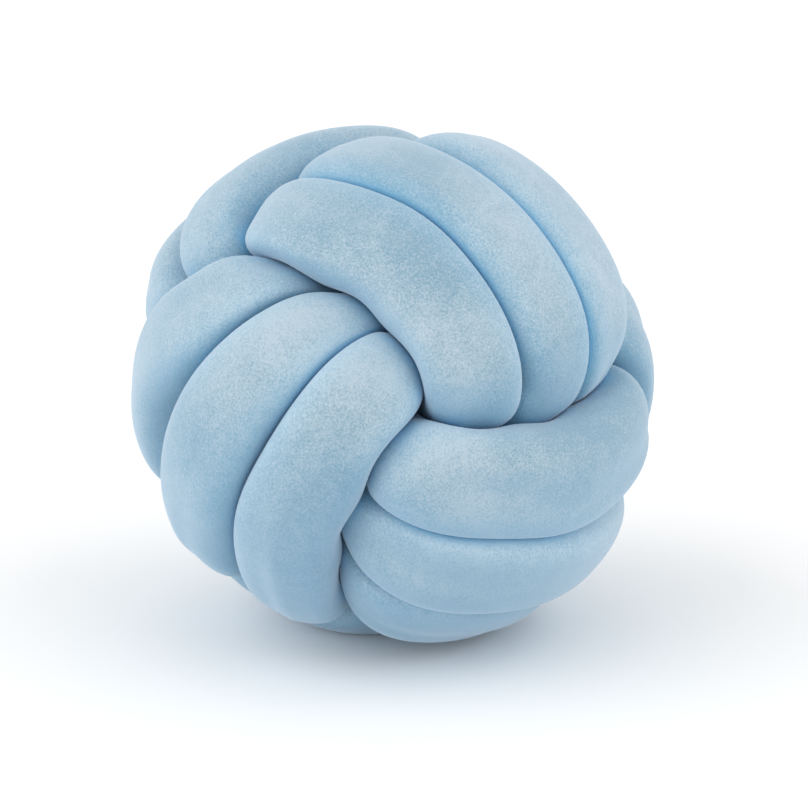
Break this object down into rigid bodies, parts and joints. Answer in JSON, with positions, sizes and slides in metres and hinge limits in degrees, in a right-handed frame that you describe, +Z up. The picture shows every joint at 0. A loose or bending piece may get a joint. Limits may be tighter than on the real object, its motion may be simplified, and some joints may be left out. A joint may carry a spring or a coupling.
{
  "type": "knot cushion",
  "caption": "Round throw cushion made of one long stuffed velvet tube knotted into a ball of crossing bands.",
  "frame": {"origin": "on the surface that the ball rests on, under the middle of its bounding box", "axes": "+Z up; -Y towards the side from which the cushion is usually seen"},
  "size_m": [0.2696, 0.2672, 0.2628],
  "materials": {
    "velvet": "short-pile velvet, pale blue, matt with a soft sheen"
  },
  "bodies": {
    "root": {"stuffed_tube": "velvet"}
  },
  "joints": []
}
